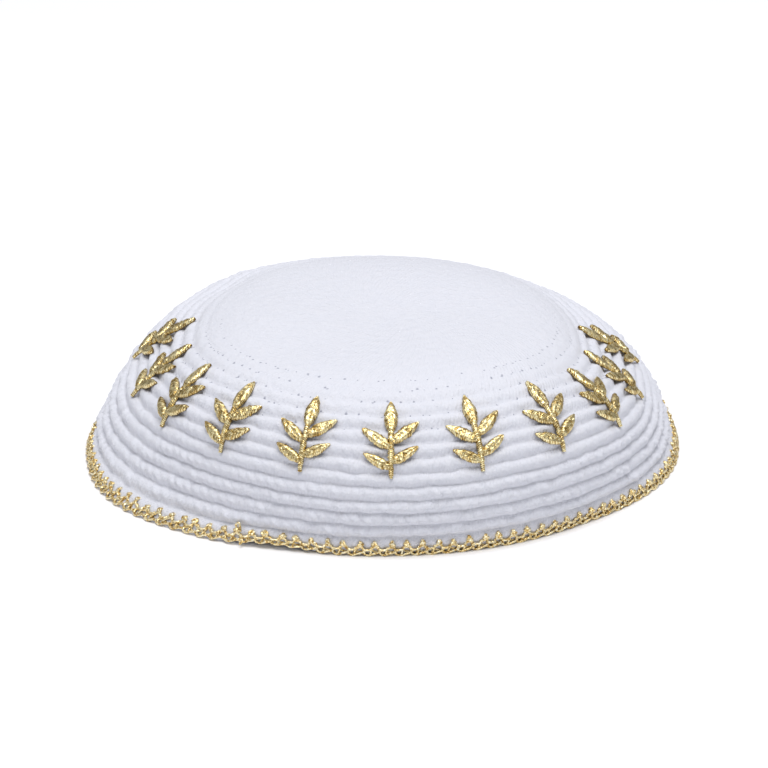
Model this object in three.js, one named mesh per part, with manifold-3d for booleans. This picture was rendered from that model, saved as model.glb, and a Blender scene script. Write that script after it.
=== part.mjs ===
// A crocheted skullcap lying on its rim: one hollow ribbed shell of white cotton, worked round and
// round from the crown, a pierced gold crochet edging under it and gold sprigs stitched on its side.
// Millimetres, +Z up, the front towards -Y, the origin under the middle of the rim on the surface.
import * as THREE from "three";
import { mergeVertices } from "three/addons/utils/BufferGeometryUtils.js";
import Module from "manifold-3d";

const wasm = await Module();
wasm.setup();

// Overall sizes of the cap as it lies
const WIDTH = 188.5;
const DEPTH = 164.5;
const HEIGHT = 48.3;

// The crocheted wall: its rounds stand out as ribs on the side and fade out on the crown. The last
// round is partly tucked under the edging, so every groove lies lower by a part of a round.
const WALL = 3.0;
const RIB_DEPTH = 1.1;
const ROUND_PITCH = 4.75;
const RIBS_START = 0.44;
const RIBS_FULL = 0.56;
const ROUND_TUCKED = 0.64;
const EDGE_ROUNDING = 0.5 * RIB_DEPTH;

// The gold edging: a standing band of stitches with a gap under every stitch
const EDGING_HEIGHT = 3.8;
const EDGING_WALL = 2.4;
const STITCH_PITCH = 4.75;
const GAP_WIDTH = 2.0;
const GAP_HEIGHT = 1.5;
const GAP_SILL = 1.1;
const EDGING_INSET = 0.3 * RIB_DEPTH;
const GAP_SHARE_LIMIT = 0.8;
const SILL_SHARE_LIMIT = 0.35;

// The stitched sprigs: a whole round has places for 18, and the back of the cap stays plain
const SPRIG_SHARE = 0.665;
const SPRIG_PLACES = 18;
const SPRIG_COUNT = 11;
const SPRIG_HEIGHT = 25;
const SPRIG_THICKNESS = 1.3;
const LEAF_LENGTH = 11;
const LEAF_WIDTH = 3.6;
const LEAF_LIFT = 0.25;
const STEM_WIDTH = 1.8;
const STEM_RISE = 0.6;
const STEM_INTO_LEAF = 0.25;
const STEM_STATIONS = [0.12, 0.45, 0.88];

// The clearance that keeps touching pieces apart
const CLEARANCE = 0.3;

// How far the cap leans below level, in degrees, at equal steps from the crown's centre to the
// ground. A row is the fold of the cap in one direction, an eighth of a turn from the next.
const LEANS = [
  { side: "right",       lean: [0, -1, 0, 16, 43, 36, 55, 70, 82] },
  { side: "back_right",  lean: [0, -2, -2, 10, 24, 27, 40, 66, 83] },
  { side: "back",        lean: [0, -2, 0, 6, 19, 37, 55, 75, 95] },
  { side: "back_left",   lean: [0, -1, 0, 4, 13, 24, 52, 79, 97] },
  { side: "left",        lean: [0, -2, -1, 11, 29, 39, 48, 64, 64] },
  { side: "front_left",  lean: [0, -2, 2, 3, 14, 46, 78, 80, 64] },
  { side: "front",       lean: [0, -3, -2, 4, 21, 48, 76, 98, 107] },
  { side: "front_right", lean: [0, -3, -1, 2, 20, 40, 75, 93, 100] },
];

// Shallow dents pressed into the cap: where they lie, how deep and how wide they are
const DENTS = [
  { side: "back_left", turn: 8, share: 0.60, deepOfHeight: 0.030, widthOfWidth: 0.10 },
  { side: "front_right", turn: 12, share: 0.52, deepOfHeight: 0.018, widthOfWidth: 0.14 },
];

// The leaves of a sprig: where each leaves the stem, how it is turned, and its size
const LEAVES = [
  { fromOfHeight: 0.56, turn: 0,   lengthOfLeaf: 1.0,  widthOfLeaf: 1.0 },
  { fromOfHeight: 0.44, turn: 52,  lengthOfLeaf: 0.95, widthOfLeaf: 0.92 },
  { fromOfHeight: 0.37, turn: -54, lengthOfLeaf: 0.95, widthOfLeaf: 0.92 },
  { fromOfHeight: 0.19, turn: 58,  lengthOfLeaf: 0.85, widthOfLeaf: 0.84 },
  { fromOfHeight: 0.12, turn: -60, lengthOfLeaf: 0.85, widthOfLeaf: 0.84 },
];

// How a leaf fills out along its length, and how high its padding stands
const LEAF_STATIONS = [
  { along: 0.26, width: 0.80, rise: 0.85 },
  { along: 0.60, width: 1.00, rise: 1.00 },
  { along: 0.86, width: 0.55, rise: 0.70 },
];

// Fineness of the modelled surfaces
const TURN_STEPS = 48;
const FOLD_STEPS = 80;
const INNER_RINGS = 13;
const RIB_PARTS = [0, 0.3, 0.7];
const SLOPE_STEP = 0.01;
const TURN = 2 * Math.PI;
const FRONT = 0.75 * TURN;

const EDGE_LEVEL = EDGING_HEIGHT + CLEARANCE;

// A smooth curve through the values that value(i) gives at whole numbers
function smoothBetween(value, position) {
  const i = Math.floor(position);
  const t = position - i;
  const [a, b, c, d] = [value(i - 1), value(i), value(i + 1), value(i + 2)];
  return b + 0.5 * t * (c - a + t * (2 * a - 5 * b + 4 * c - d + t * (3 * (b - c) + d - a)));
}

// Lean of the cap in radians at a share of its fold, in one direction
const LAST_LEAN = LEANS[0].lean.length - 1;
function leanAt(share, direction) {
  const row = (direction / TURN) * LEANS.length;
  const rowOf = (r) => LEANS[((r % LEANS.length) + LEANS.length) % LEANS.length].lean;
  const column = (c) => smoothBetween((r) => rowOf(r)[Math.min(Math.max(c, 0), LAST_LEAN)], row);
  return THREE.MathUtils.degToRad(smoothBetween(column, share * LAST_LEAN));
}

// The fold in one direction, laid out step by step: reach outwards and drop, for a cloth of length 1
const folds = new Map();
function foldAt(direction) {
  const key = direction.toFixed(6);
  if (!folds.has(key)) {
    const fold = [{ reach: 0, drop: 0 }];
    for (let i = 0; i < FOLD_STEPS; i += 1) {
      const lean = leanAt((i + 0.5) / FOLD_STEPS, direction);
      const last = fold[i];
      fold.push({
        reach: last.reach + Math.cos(lean) / FOLD_STEPS,
        drop: last.drop + Math.sin(lean) / FOLD_STEPS,
      });
    }
    folds.set(key, fold);
  }
  return folds.get(key);
}

// The extent of the laid-out folds, which the overall sizes then stretch to fit
const extent = { left: 0, right: 0, front: 0, back: 0, peak: 1 };
for (let i = 0; i < TURN_STEPS; i += 1) {
  const direction = (i / TURN_STEPS) * TURN;
  const fold = foldAt(direction);
  const total = fold[FOLD_STEPS].drop;
  for (const { reach, drop } of fold) {
    extent.left = Math.min(extent.left, reach * Math.cos(direction));
    extent.right = Math.max(extent.right, reach * Math.cos(direction));
    extent.front = Math.min(extent.front, reach * Math.sin(direction));
    extent.back = Math.max(extent.back, reach * Math.sin(direction));
    extent.peak = Math.max(extent.peak, 1 - drop / total);
  }
}
const stretchX = WIDTH / (extent.right - extent.left);
const stretchY = DEPTH / (extent.back - extent.front);
const crownX = -0.5 * stretchX * (extent.right + extent.left);
const crownY = -0.5 * stretchY * (extent.back + extent.front);
const crownRise = HEIGHT / extent.peak;

// A point of the cap's outer face before the dents, from the crown's centre at 0 to the ground at 1
function foldPoint(share, direction) {
  const fold = foldAt(direction);
  const place = Math.min(Math.max(share, 0), 1) * FOLD_STEPS;
  const i = Math.min(Math.floor(place), FOLD_STEPS - 1);
  const t = place - i;
  const reach = fold[i].reach + t * (fold[i + 1].reach - fold[i].reach);
  const drop = fold[i].drop + t * (fold[i + 1].drop - fold[i].drop);
  return new THREE.Vector3(
    crownX + stretchX * reach * Math.cos(direction),
    crownY + stretchY * reach * Math.sin(direction),
    crownRise * (1 - drop / fold[FOLD_STEPS].drop),
  );
}

// The share of a fold at which it comes down to a level near the ground
function shareAtLevel(level, direction) {
  const halvings = 30;
  let high = 0.7;
  let low = 1;
  for (let i = 0; i < halvings; i += 1) {
    const middle = 0.5 * (high + low);
    if (foldPoint(middle, direction).z > level) high = middle;
    else low = middle;
  }
  return low;
}

// A point of the white cloth's outer face, from the crown's centre at 0 to the cloth's edge at 1
const edgeShares = new Map();
function plainPoint(share, direction) {
  const key = direction.toFixed(6);
  if (!edgeShares.has(key)) edgeShares.set(key, shareAtLevel(EDGE_LEVEL, direction));
  return foldPoint(share * edgeShares.get(key), direction);
}

// How far the dents press a point in
const dentPlaces = DENTS.map((dent) => {
  const row = LEANS.findIndex(({ side }) => side === dent.side);
  const direction = (row / LEANS.length) * TURN + THREE.MathUtils.degToRad(dent.turn);
  const centre = plainPoint(dent.share, direction);
  return { centre, deep: dent.deepOfHeight * HEIGHT, wide: dent.widthOfWidth * WIDTH };
});
function dentAt(point) {
  return dentPlaces.reduce((sum, { centre, deep, wide }) => {
    const away = point.distanceTo(centre) / wide;
    return sum + deep * Math.exp(-4 * away * away);
  }, 0);
}

// A point of the cloth, moved out of its face by an offset; at the edge it moves level
function clothPoint(share, direction, offset) {
  const step = SLOPE_STEP;
  const low = Math.max(share - step, step);
  const held = Math.max(share, step);
  const point = plainPoint(share, direction);
  const along = plainPoint(Math.min(low + 2 * step, 1), direction).sub(plainPoint(low, direction));
  const round = plainPoint(held, direction + step).sub(plainPoint(held, direction - step));
  const out = new THREE.Vector3().crossVectors(along, round).normalize();
  if (share < step) out.set(0, 0, 1);
  if (share >= 1) out.setZ(0).normalize();
  return point.addScaledVector(out, offset - dentAt(point));
}

// A point of the edging at a level under the cloth's edge, moved out of its face by an offset
function edgingPoint(level, direction, offset) {
  const edge = plainPoint(1, direction);
  const shift = foldPoint(shareAtLevel(level, direction), direction).sub(edge);
  return clothPoint(1, direction, offset).add(shift).setZ(level);
}

// Mean length of the cloth from the crown's centre to its edge
function clothLength(direction) {
  let length = 0;
  for (let i = 0; i < FOLD_STEPS; i += 1) {
    length += plainPoint(i / FOLD_STEPS, direction).distanceTo(plainPoint((i + 1) / FOLD_STEPS, direction));
  }
  return length;
}
const lengths = LEANS.map((row, i) => clothLength((i / LEANS.length) * TURN));
const meanLength = lengths.reduce((sum, length) => sum + length, 0) / lengths.length;
const ROUNDS = Math.round(meanLength / ROUND_PITCH);

// Lengths walked along one round of the cloth, degree by degree from the front
function walkRound(share) {
  const degrees = 360;
  const walked = [0];
  for (let i = 0; i < degrees; i += 1) {
    const from = plainPoint(share, FRONT + (i / degrees) * TURN);
    const to = plainPoint(share, FRONT + ((i + 1) / degrees) * TURN);
    walked.push(walked[i] + from.distanceTo(to));
  }
  return walked;
}

// Directions that share out one round of the cloth evenly, starting at the front
function evenDirections(share, count) {
  const walked = walkRound(share);
  const fine = walked.length - 1;
  return Array.from({ length: count }, (_, k) => {
    const goal = (k / count) * walked[fine];
    const i = Math.max(1, walked.findIndex((length) => length >= goal));
    const part = (goal - walked[i - 1]) / (walked[i] - walked[i - 1]);
    return FRONT + ((i - 1 + part) / fine) * TURN;
  });
}

// A mesh from points and faces, with its shared vertices merged
function meshOf(name, points, faces, material) {
  const geometry = new THREE.BufferGeometry();
  geometry.setAttribute("position", new THREE.Float32BufferAttribute(points.flatMap((p) => p.toArray()), 3));
  geometry.setIndex(faces.flat());
  const mesh = new THREE.Mesh(geometry, material);
  mesh.name = name;
  return mesh;
}

const quad = (a, b, c, d) => [[a, b, c], [a, c, d]];

const cotton = new THREE.MeshStandardMaterial({ color: 0xeceef2, roughness: 0.92, metalness: 0 });
const goldYarn = new THREE.MeshStandardMaterial({ color: 0xb8923c, roughness: 0.42, metalness: 0.6 });

// How deep the groove between two ribs is, at a part of a round past its middle
function ribOffset(part, share) {
  const fade = THREE.MathUtils.smoothstep(share, RIBS_START, RIBS_FULL);
  const valley = 0.5 + 0.5 * Math.cos(part * TURN);
  return -RIB_DEPTH * fade * valley ** 1.5;
}

// The shell: a smooth crown, ribs on the side, the edge of the cloth and a plain inner face
function makeShell() {
  const rings = [];
  const firstRib = Math.ceil(RIBS_START * ROUNDS);
  for (let round = 2; round < firstRib; round += 3) rings.push({ share: round / ROUNDS, offset: 0 });
  for (let round = firstRib; round < ROUNDS; round += 1) {
    for (const part of RIB_PARTS) {
      const share = (round + part + ROUND_TUCKED) / ROUNDS;
      if (share < 1 - 0.1 / ROUNDS) rings.push({ share, offset: ribOffset(part, share) });
    }
  }
  rings.push({ share: 1, offset: -EDGE_ROUNDING });
  for (let i = 0; i < INNER_RINGS; i += 1) {
    rings.push({ share: 1 - i / INNER_RINGS, offset: -WALL });
  }
  const points = [clothPoint(0, 0, 0)];
  for (const { share, offset } of rings) {
    for (let i = 0; i < TURN_STEPS; i += 1) points.push(clothPoint(share, (i / TURN_STEPS) * TURN, offset));
  }
  points.push(clothPoint(0, 0, -WALL));
  const at = (ring, i) => 1 + ring * TURN_STEPS + (i % TURN_STEPS);
  const faces = [];
  for (let i = 0; i < TURN_STEPS; i += 1) {
    faces.push([0, at(0, i), at(0, i + 1)]);
    for (let ring = 0; ring < rings.length - 1; ring += 1) {
      faces.push(...quad(at(ring, i), at(ring + 1, i), at(ring + 1, i + 1), at(ring, i + 1)));
    }
    faces.push([at(rings.length - 1, i), points.length - 1, at(rings.length - 1, i + 1)]);
  }
  return meshOf("crown_shell", points, faces, cotton);
}

// The edging: a level band under the cloth's edge, cut through with a gap in every stitch
function makeEdging() {
  const stitches = evenDirections(1, Math.round(walkRound(1).at(-1) / STITCH_PITCH));
  const next = [...stitches.slice(1), stitches[0] + TURN];
  const turns = stitches.map((direction, k) => next[k] - direction);
  const points = [];
  const faces = [];
  const perStitch = 12;
  stitches.forEach((direction, k) => {
    const pitch = plainPoint(1, direction).distanceTo(plainPoint(1, direction + turns[k]));
    const half = Math.min(0.5 * GAP_WIDTH / pitch, 0.5 * GAP_SHARE_LIMIT);
    const bottom = Math.min(GAP_SILL, SILL_SHARE_LIMIT * EDGING_HEIGHT);
    const top = Math.min(bottom + GAP_HEIGHT, GAP_SHARE_LIMIT * EDGING_HEIGHT);
    for (const offset of [-EDGING_INSET, -EDGING_INSET - EDGING_WALL]) {
      const corner = (part, level) => {
        points.push(edgingPoint(level, direction + part * turns[k], offset));
      };
      corner(0, 0);
      corner(0, EDGING_HEIGHT);
      corner(0.5 - half, bottom);
      corner(0.5 + half, bottom);
      corner(0.5 + half, top);
      corner(0.5 - half, top);
    }
    const [o, n] = [perStitch * k, perStitch * ((k + 1) % stitches.length)];
    const around = (b, t, nb, nt, l, r, rt, lt) => [
      [b, nb, r], [b, r, l], [nb, nt, rt], [nb, rt, r], [nt, t, lt], [nt, lt, rt], [t, b, l], [t, l, lt],
    ];
    faces.push(...around(o, o + 1, n, n + 1, o + 2, o + 3, o + 4, o + 5));
    const inside = around(o + 6, o + 7, n + 6, n + 7, o + 8, o + 9, o + 10, o + 11);
    faces.push(...inside.map(([a, b, c]) => [a, c, b]));
    for (const [a, b] of [[2, 3], [3, 4], [4, 5], [5, 2]]) {
      faces.push(...quad(o + a, o + b, o + b + 6, o + a + 6));
    }
    faces.push(...quad(o + 1, n + 1, n + 7, o + 7));
    faces.push(...quad(n, o, o + 6, n + 6));
  });
  return meshOf("gold_edging", points, faces, goldYarn);
}

// A padded strip on the cloth: pointed at both ends, with a ridge along its middle
function paddedStrip(place, stations, start, end, lift) {
  const across = new THREE.Vector2(end.y - start.y, start.x - end.x).normalize();
  const at = ({ along, width, rise }, side) => {
    const centre = start.clone().lerp(end, along).addScaledVector(across, 0.5 * side * width);
    const height = side === 0 ? rise * SPRIG_THICKNESS : 0;
    return place(centre.x, centre.y, CLEARANCE + lift + height);
  };
  const ends = [{ along: 0, width: 0, rise: 0 }, { along: 1, width: 0, rise: 0 }];
  const points = [at(ends[0], 0)];
  for (const station of stations) points.push(at(station, -1), at(station, 0), at(station, 1));
  points.push(at(ends[1], 0));
  const last = points.length - 1;
  const faces = [[0, 2, 1], [0, 3, 2], [0, 1, 3]];
  for (let s = 0; s < stations.length - 1; s += 1) {
    const [l, m, r] = [1 + 3 * s, 2 + 3 * s, 3 + 3 * s];
    faces.push(...quad(l, m, m + 3, l + 3), ...quad(m, r, r + 3, m + 3), ...quad(r, l, l + 3, r + 3));
  }
  const [l, m, r] = [last - 3, last - 2, last - 1];
  faces.push([l, m, last], [m, r, last], [r, l, last]);
  const vertProperties = new Float32Array(points.flatMap((p) => p.toArray()));
  const triVerts = new Uint32Array(faces.flat());
  return new wasm.Manifold(new wasm.Mesh({ numProp: 3, vertProperties, triVerts }));
}

// One sprig: a stem and its leaves fused into one body that lies on the cloth like padded satin stitch
function makeSprig(name, direction) {
  const length = clothLength(direction);
  const place = (sideways, up, offset) => {
    const share = SPRIG_SHARE - (up - 0.5 * SPRIG_HEIGHT) / length;
    const ahead = plainPoint(share, direction + SLOPE_STEP);
    const perTurn = plainPoint(share, direction).distanceTo(ahead) / SLOPE_STEP;
    return clothPoint(share, direction + sideways / perTurn, offset);
  };
  const stemStations = STEM_STATIONS.map((along) => ({ along, width: STEM_WIDTH, rise: STEM_RISE }));
  const foot = new THREE.Vector2(0, 0);
  const top = new THREE.Vector2(0, LEAVES[0].fromOfHeight * SPRIG_HEIGHT + STEM_INTO_LEAF * LEAF_LENGTH);
  let sprig = paddedStrip(place, stemStations, foot, top, 0);
  for (const leaf of LEAVES) {
    const turn = THREE.MathUtils.degToRad(leaf.turn);
    const start = new THREE.Vector2(0, leaf.fromOfHeight * SPRIG_HEIGHT);
    const heading = new THREE.Vector2(Math.sin(turn), Math.cos(turn));
    const end = start.clone().addScaledVector(heading, leaf.lengthOfLeaf * LEAF_LENGTH);
    const widest = leaf.widthOfLeaf * LEAF_WIDTH;
    const stations = LEAF_STATIONS.map((station) => ({ ...station, width: station.width * widest }));
    sprig = sprig.add(paddedStrip(place, stations, start, end, LEAF_LIFT));
  }
  const { vertProperties, triVerts } = sprig.getMesh();
  const geometry = new THREE.BufferGeometry();
  geometry.setAttribute("position", new THREE.BufferAttribute(vertProperties, 3));
  geometry.setIndex(new THREE.BufferAttribute(triVerts, 1));
  const mesh = new THREE.Mesh(mergeVertices(geometry), goldYarn);
  mesh.name = name;
  return mesh;
}

const cap = new THREE.Group();
cap.add(makeShell(), makeEdging());

// Sprigs from the left of the front to its right, at even steps of their round
const places = evenDirections(SPRIG_SHARE, SPRIG_PLACES);
for (let k = 0; k < SPRIG_COUNT; k += 1) {
  const place = (SPRIG_PLACES + k - (SPRIG_COUNT - 1) / 2) % SPRIG_PLACES;
  cap.add(makeSprig(`sprig_${String(k + 1).padStart(2, "0")}`, places[place]));
}

export default cap;
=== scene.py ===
# %% [markdown]
# A crocheted cotton skullcap, lying on its rim on a white table. The construction gives the hollow
# ribbed shell, the pierced edging and the sprigs at their real size. Here each of them is made
# again in yarn: rounds of crochet, looped metallic edging and satin-stitched leaves.

# %% Load the frame and keep its box
import math

import bpy
import numpy as np
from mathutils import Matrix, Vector


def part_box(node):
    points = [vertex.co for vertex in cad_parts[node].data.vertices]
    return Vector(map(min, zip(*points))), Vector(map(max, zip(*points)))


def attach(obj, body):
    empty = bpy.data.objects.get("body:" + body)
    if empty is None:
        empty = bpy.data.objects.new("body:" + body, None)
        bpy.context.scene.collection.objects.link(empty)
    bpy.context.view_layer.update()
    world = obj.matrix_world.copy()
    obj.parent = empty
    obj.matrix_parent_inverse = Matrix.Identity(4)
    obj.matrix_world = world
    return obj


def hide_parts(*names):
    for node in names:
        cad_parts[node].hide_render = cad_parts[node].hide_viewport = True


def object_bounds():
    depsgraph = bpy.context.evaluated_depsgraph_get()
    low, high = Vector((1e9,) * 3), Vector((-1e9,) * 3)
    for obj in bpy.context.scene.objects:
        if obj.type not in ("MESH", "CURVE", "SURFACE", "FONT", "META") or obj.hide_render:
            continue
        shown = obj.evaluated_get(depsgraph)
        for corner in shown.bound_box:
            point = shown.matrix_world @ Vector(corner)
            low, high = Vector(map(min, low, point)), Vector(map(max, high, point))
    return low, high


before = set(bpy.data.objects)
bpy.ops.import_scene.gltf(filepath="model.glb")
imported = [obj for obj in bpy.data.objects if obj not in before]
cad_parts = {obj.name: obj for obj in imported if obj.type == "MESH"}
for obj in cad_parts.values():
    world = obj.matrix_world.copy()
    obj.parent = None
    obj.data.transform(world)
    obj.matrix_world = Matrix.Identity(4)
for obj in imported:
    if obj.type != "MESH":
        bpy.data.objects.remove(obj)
cad_low, cad_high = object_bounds()
MM = 0.001
WIDTH, DEPTH, HEIGHT = (cad_high - cad_low) / MM
EDGING_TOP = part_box("gold_edging")[1].z / MM
CLEARANCE = 0.3
LOWEST_POINT = 0.02
EDGE_LEVEL = EDGING_TOP + CLEARANCE
print(f"cap {WIDTH:.1f} x {DEPTH:.1f} x {HEIGHT:.1f} mm, edging {EDGING_TOP:.1f} mm high")

# %% [markdown]
# A soft cap has no plan: its outline comes from how far the cloth leans at each place, because
# crochet hardly stretches. So the shape is a table of leans, one row for each eighth of a turn,
# read from the crown's centre down to the table. Walking down a row step by step lays out the fold.
# Two shallow dents press the cloth in. The rim isn't quite regular either: it lifts off the table in
# one place, and wanders out and in at five others. Their directions and widths are in degrees, and
# how far they move the rim, and how high up they are felt, is in millimetres.

# %% The cap's folds, as the construction lays them out
TURN = 2 * math.pi
FRONT = 0.75 * TURN
LEANS = {
    "right":       (0, -1, 0, 16, 43, 36, 55, 70, 82),
    "back_right":  (0, -2, -2, 10, 24, 27, 40, 66, 83),
    "back":        (0, -2, 0, 6, 19, 37, 55, 75, 95),
    "back_left":   (0, -1, 0, 4, 13, 24, 52, 79, 97),
    "left":        (0, -2, -1, 11, 29, 39, 48, 64, 64),
    "front_left":  (0, -2, 2, 3, 14, 46, 78, 80, 64),
    "front":       (0, -3, -2, 4, 21, 48, 76, 98, 107),
    "front_right": (0, -3, -1, 2, 20, 40, 75, 93, 100),
}
DENTS = (
    {"side": "back_left", "turn": 8, "share": 0.60, "deep": 0.030 * HEIGHT, "wide": 0.10 * WIDTH},
    {"side": "front_right", "turn": 12, "share": 0.52, "deep": 0.018 * HEIGHT, "wide": 0.14 * WIDTH},
)
RIM_LIFT = {"direction": 243.5, "wide": 9, "high": 1.5, "reach": 12}
RIM_FLARES = (
    {"direction": 184, "wide": 9, "out": -0.8, "reach": 14},
    {"direction": 207, "wide": 14, "out": 2.0, "reach": 14},
    {"direction": 247, "wide": 12, "out": -1.5, "reach": 14},
    {"direction": 316, "wide": 18, "out": -1.2, "reach": 14},
    {"direction": 352, "wide": 20, "out": 1.6, "reach": 14},
)
FOLD_STEPS = 400
TURN_STEPS = 720


def smooth_between(values, place, wrap):
    """Values along the first axis, read at fractional places by a smooth curve through them."""
    last = len(values) - 1
    start = np.floor(place).astype(int)
    if not wrap:
        start = np.minimum(start, last - 1)
    t = (place - start).reshape((-1,) + (1,) * (values.ndim - 1))
    near = [start + k for k in (-1, 0, 1, 2)]
    near = [k % len(values) if wrap else np.clip(k, 0, last) for k in near]
    a, b, c, d = (values[k] for k in near)
    return b + 0.5 * t * (c - a + t * (2 * a - 5 * b + 4 * c - d + t * (3 * (b - c) + d - a)))


def lay_out_folds():
    """Points of the cap's outer face, in millimetres, at even steps down the folds and round the turn."""
    leans = np.radians(np.array(list(LEANS.values()), float))
    directions = np.arange(TURN_STEPS) / TURN_STEPS
    around = smooth_between(leans, directions * len(leans), wrap=True)
    middles = (np.arange(FOLD_STEPS) + 0.5) / FOLD_STEPS
    lean = smooth_between(around.T, middles * (leans.shape[1] - 1), wrap=False)
    still = np.zeros((1, TURN_STEPS))
    reach = np.concatenate([still, np.cumsum(np.cos(lean), 0)])
    drop = np.concatenate([still, np.cumsum(np.sin(lean), 0)])
    x = reach * np.cos(directions * TURN)
    y = reach * np.sin(directions * TURN)
    rise = 1 - drop / drop[-1]
    x = WIDTH * (x - (x.max() + x.min()) / 2) / (x.max() - x.min())
    y = DEPTH * (y - (y.max() + y.min()) / 2) / (y.max() - y.min())
    return np.stack([x, y, HEIGHT * rise / rise.max()], -1)


FOLDS = lay_out_folds()
SHARES = np.arange(FOLD_STEPS + 1) / FOLD_STEPS
LOW_PART = SHARES > 0.7
EDGE_SHARE = np.array([
    np.interp(-EDGE_LEVEL, -FOLDS[LOW_PART, i, 2], SHARES[LOW_PART]) for i in range(TURN_STEPS)
])
print(f"the cloth ends at {EDGE_SHARE.min():.3f} to {EDGE_SHARE.max():.3f} of its folds")


# %% Reading a point of the cloth
SLOPE_STEP = 0.01


def read_grid(grid, share, direction):
    """The grid's values at shares down the fold and directions round the turn."""
    row = np.clip(share, 0, 1) * (len(grid) - 1)
    column = (direction / TURN * TURN_STEPS) % TURN_STEPS
    r = np.minimum(row.astype(int), max(len(grid) - 2, 0))
    c = column.astype(int) % TURN_STEPS
    beside = (c + 1) % TURN_STEPS
    below = np.minimum(r + 1, len(grid) - 1)
    down = (row - r)[..., None]
    across = (column - np.floor(column))[..., None]
    upper = grid[r, c] * (1 - across) + grid[r, beside] * across
    lower = grid[below, c] * (1 - across) + grid[below, beside] * across
    return upper * (1 - down) + lower * down


def plain_point(share, direction):
    """The cloth's outer face, from the crown's centre at 0 to the white edge at 1, without dents."""
    edge = read_grid(EDGE_SHARE[None, :, None], share, direction)[..., 0]
    return read_grid(FOLDS, share * edge, direction)


around_cap = np.arange(TURN_STEPS) / TURN_STEPS * TURN
fold_lines = plain_point(*np.meshgrid(SHARES, around_cap, indexing="ij"))
FOLD_LENGTH = np.linalg.norm(np.diff(fold_lines, axis=0), axis=-1).sum(0).mean()
print(f"cloth {FOLD_LENGTH:.1f} mm from the crown's centre to its edge")


def dent_depth(point):
    """How far the dents press a point in."""
    depth = np.zeros(point.shape[:-1])
    for dent in DENTS:
        direction = list(LEANS).index(dent["side"]) / len(LEANS) * TURN + math.radians(dent["turn"])
        centre = plain_point(np.array(dent["share"]), np.array(direction))
        away = np.linalg.norm(point - centre, axis=-1) / dent["wide"]
        depth += dent["deep"] * np.exp(-4 * away * away)
    return depth


def near_rim(place, point, direction):
    """How much a place on the rim has a part in a point: 1 at the place and 0 away from it."""
    turn = (direction - math.radians(place["direction"]) + TURN / 2) % TURN - TURN / 2
    beside = np.exp(-(turn / math.radians(place["wide"])) ** 2)
    return beside * np.clip(1 - point[..., 2] / place["reach"], 0, 1) ** 2


def as_it_lies(point, direction):
    """Raises the rim where it doesn't quite lie on the table, and moves it out or in where it wanders."""
    flare = sum(place["out"] * near_rim(place, point, direction) for place in RIM_FLARES)
    point[..., 2] += RIM_LIFT["high"] * near_rim(RIM_LIFT, point, direction)
    point[..., 0] += flare * np.cos(direction)
    point[..., 1] += flare * np.sin(direction)
    return point


def face_point(share, direction, offset):
    """A point of the cloth in millimetres, moved out of its face by an offset."""
    share, direction = np.broadcast_arrays(np.asarray(share, float), np.asarray(direction, float))
    step = SLOPE_STEP
    low = np.clip(share - step, step, 1 - 2 * step)
    along = plain_point(low + 2 * step, direction) - plain_point(low, direction)
    held = np.maximum(share, 2 * step)
    around = plain_point(held, direction + step) - plain_point(held, direction - step)
    out = np.cross(along, around)
    out /= np.linalg.norm(out, axis=-1, keepdims=True)
    sideways = np.clip(share / (3 * step), 0, 1)[..., None]
    out = out * sideways + np.array([0, 0, 1]) * (1 - sideways)
    out /= np.linalg.norm(out, axis=-1, keepdims=True)
    point = plain_point(share, direction)
    return point + out * (offset - dent_depth(point))[..., None]


def cloth_point(share, direction, offset):
    """The same point as the cap lies, with its rim lifted in one place and wandering out and in."""
    return as_it_lies(face_point(share, direction, offset), direction)


def rim_point(direction, level, out):
    """A point beside the rim: above the cloth's edge it follows the cloth, below it the fold's foot."""
    direction, level, out = np.broadcast_arrays(*(np.asarray(v, float) for v in (direction, level, out)))
    share = 1 - np.maximum(level - EDGE_LEVEL, 0) / FOLD_LENGTH
    below = np.clip(1 - level / EDGE_LEVEL, 0, 1)
    edge = plain_point(np.ones(direction.shape), direction)
    foot = read_grid(FOLDS, np.ones(direction.shape), direction)
    return as_it_lies(face_point(share, direction, out) + (foot - edge) * below[..., None], direction)


def even_directions(share, count):
    """Directions that share out one round of the cloth evenly, from the front."""
    fine = FRONT + np.linspace(0, TURN, 2 * TURN_STEPS + 1)
    ring = plain_point(np.full(fine.shape, share), fine)
    walked = np.concatenate([[0], np.cumsum(np.linalg.norm(np.diff(ring, axis=0), axis=1))])
    return np.interp(np.arange(count) / count * walked[-1], walked, fine)


# %% [markdown]
# Every piece is a mesh made from arrays of points and faces. A UV map counts stitches and rounds
# instead of a picture's pixels, so that a material can place a pinhole beside a stitch.

# %% One helper makes every mesh
def make_piece(name, points, blocks, material):
    """A smooth piece from points in millimetres; a block is faces of one kind with their corners' UVs."""
    mesh = bpy.data.meshes.new(name)
    sizes = np.concatenate([np.full(len(faces), faces.shape[1]) for faces, _ in blocks])
    corners = np.concatenate([faces.ravel() for faces, _ in blocks])
    uvs = np.concatenate([uv.reshape(-1, 2) for _, uv in blocks])
    mesh.vertices.add(len(points))
    mesh.vertices.foreach_set("co", (points * MM).ravel())
    mesh.loops.add(len(corners))
    mesh.loops.foreach_set("vertex_index", corners)
    mesh.polygons.add(len(sizes))
    mesh.polygons.foreach_set("loop_start", np.cumsum(sizes) - sizes)
    mesh.update(calc_edges=True)
    layer = mesh.uv_layers.new(name="stitches")
    layer.data.foreach_set("uv", uvs.ravel())
    mesh.polygons.foreach_set("use_smooth", np.ones(len(sizes), bool))
    mesh.materials.append(material)
    piece = bpy.data.objects.new(name, mesh)
    bpy.context.collection.objects.link(piece)
    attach(piece, "root")
    print(f"{name}: {len(points)} points, {int((sizes - 2).sum())} triangles")
    return piece


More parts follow.
